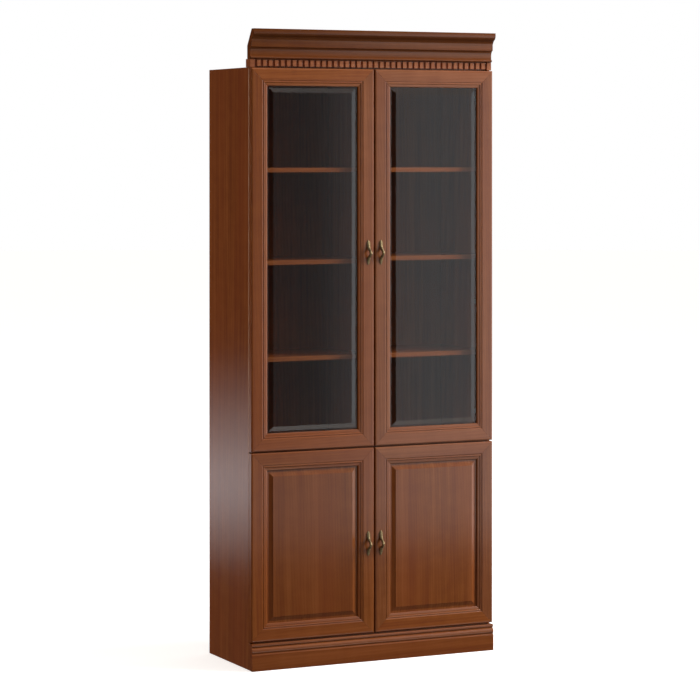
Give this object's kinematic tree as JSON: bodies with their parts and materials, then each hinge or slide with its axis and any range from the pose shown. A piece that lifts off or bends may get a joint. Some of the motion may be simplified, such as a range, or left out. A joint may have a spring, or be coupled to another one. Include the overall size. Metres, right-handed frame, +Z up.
{
  "type": "display cabinet",
  "caption": "Tall wooden display cabinet with glazed doors over panelled doors, loose shelves, a plinth and a dentil cornice",
  "frame": {"origin": "on the floor, under the middle of the cabinet's overall width and depth, handles and cornice included", "axes": "+Z up, +X to the right seen from the front, +Y towards the back"},
  "size_m": [0.96, 0.411, 2.2517],
  "materials": {
    "cherry_wood": "satin lacquered cherry veneer, reddish brown, grain along each piece",
    "back_board": "thin veneered fibreboard, satin",
    "bevelled_glass": "clear glass with a ground and polished bevel all round",
    "antique_brass": "cast brass, darkened in the hollows and rubbed bright on the high places",
    "hinge_steel": "nickel-plated pressed steel",
    "glazing_gasket": "soft brown extruded strip, matt"
  },
  "bodies": {
    "cabinet": {"left_side_panel": "cherry_wood", "right_side_panel": "cherry_wood", "top_panel": "cherry_wood", "bottom_panel": "cherry_wood", "fixed_shelf": "cherry_wood", "upper_partition": "cherry_wood", "lower_partition": "cherry_wood", "back_panel": "back_board", "plinth_board": "cherry_wood", "plinth_rail": "cherry_wood", "cornice_moulding": "cherry_wood", "dentil_strip": "cherry_wood", "cornice_block_left": "cherry_wood", "cornice_block_right": "cherry_wood", "upper_left_shelf_1": "cherry_wood", "upper_left_shelf_2": "cherry_wood", "upper_left_shelf_3": "cherry_wood", "upper_right_shelf_1": "cherry_wood", "upper_right_shelf_2": "cherry_wood", "upper_right_shelf_3": "cherry_wood", "lower_left_shelf_1": "cherry_wood", "lower_right_shelf_1": "cherry_wood", "upper_left_hinge_top": "hinge_steel", "upper_left_hinge_middle": "hinge_steel", "upper_left_hinge_bottom": "hinge_steel", "upper_right_hinge_top": "hinge_steel", "upper_right_hinge_middle": "hinge_steel", "upper_right_hinge_bottom": "hinge_steel", "lower_left_hinge_top": "hinge_steel", "lower_left_hinge_bottom": "hinge_steel", "lower_right_hinge_top": "hinge_steel", "lower_right_hinge_bottom": "hinge_steel"},
    "upper_left_door": {"upper_left_outer_stile": "cherry_wood", "upper_left_inner_stile": "cherry_wood", "upper_left_top_rail": "cherry_wood", "upper_left_bottom_rail": "cherry_wood", "upper_left_glass": "bevelled_glass", "upper_left_glazing_gasket": "glazing_gasket", "upper_left_handle": "antique_brass"},
    "upper_right_door": {"upper_right_outer_stile": "cherry_wood", "upper_right_inner_stile": "cherry_wood", "upper_right_top_rail": "cherry_wood", "upper_right_bottom_rail": "cherry_wood", "upper_right_glass": "bevelled_glass", "upper_right_glazing_gasket": "glazing_gasket", "upper_right_handle": "antique_brass"},
    "lower_left_door": {"lower_left_outer_stile": "cherry_wood", "lower_left_inner_stile": "cherry_wood", "lower_left_top_rail": "cherry_wood", "lower_left_bottom_rail": "cherry_wood", "lower_left_panel": "cherry_wood", "lower_left_handle": "antique_brass"},
    "lower_right_door": {"lower_right_outer_stile": "cherry_wood", "lower_right_inner_stile": "cherry_wood", "lower_right_top_rail": "cherry_wood", "lower_right_bottom_rail": "cherry_wood", "lower_right_panel": "cherry_wood", "lower_right_handle": "antique_brass"}
  },
  "joints": [
    {"name": "upper_left_door_swing", "type": "hinge", "parent": "cabinet", "child": "upper_left_door", "pos_m": [-0.4735, -0.172, 0.7675], "axis": [0, 0, -1], "range_deg": [0, 105]},
    {"name": "upper_right_door_swing", "type": "hinge", "parent": "cabinet", "child": "upper_right_door", "pos_m": [0.4735, -0.172, 0.7675], "axis": [0, 0, 1], "range_deg": [0, 105]},
    {"name": "lower_left_door_swing", "type": "hinge", "parent": "cabinet", "child": "lower_left_door", "pos_m": [-0.4735, -0.172, 0.1], "axis": [0, 0, -1], "range_deg": [0, 105]},
    {"name": "lower_right_door_swing", "type": "hinge", "parent": "cabinet", "child": "lower_right_door", "pos_m": [0.4735, -0.172, 0.1], "axis": [0, 0, 1], "range_deg": [0, 105]}
  ]
}
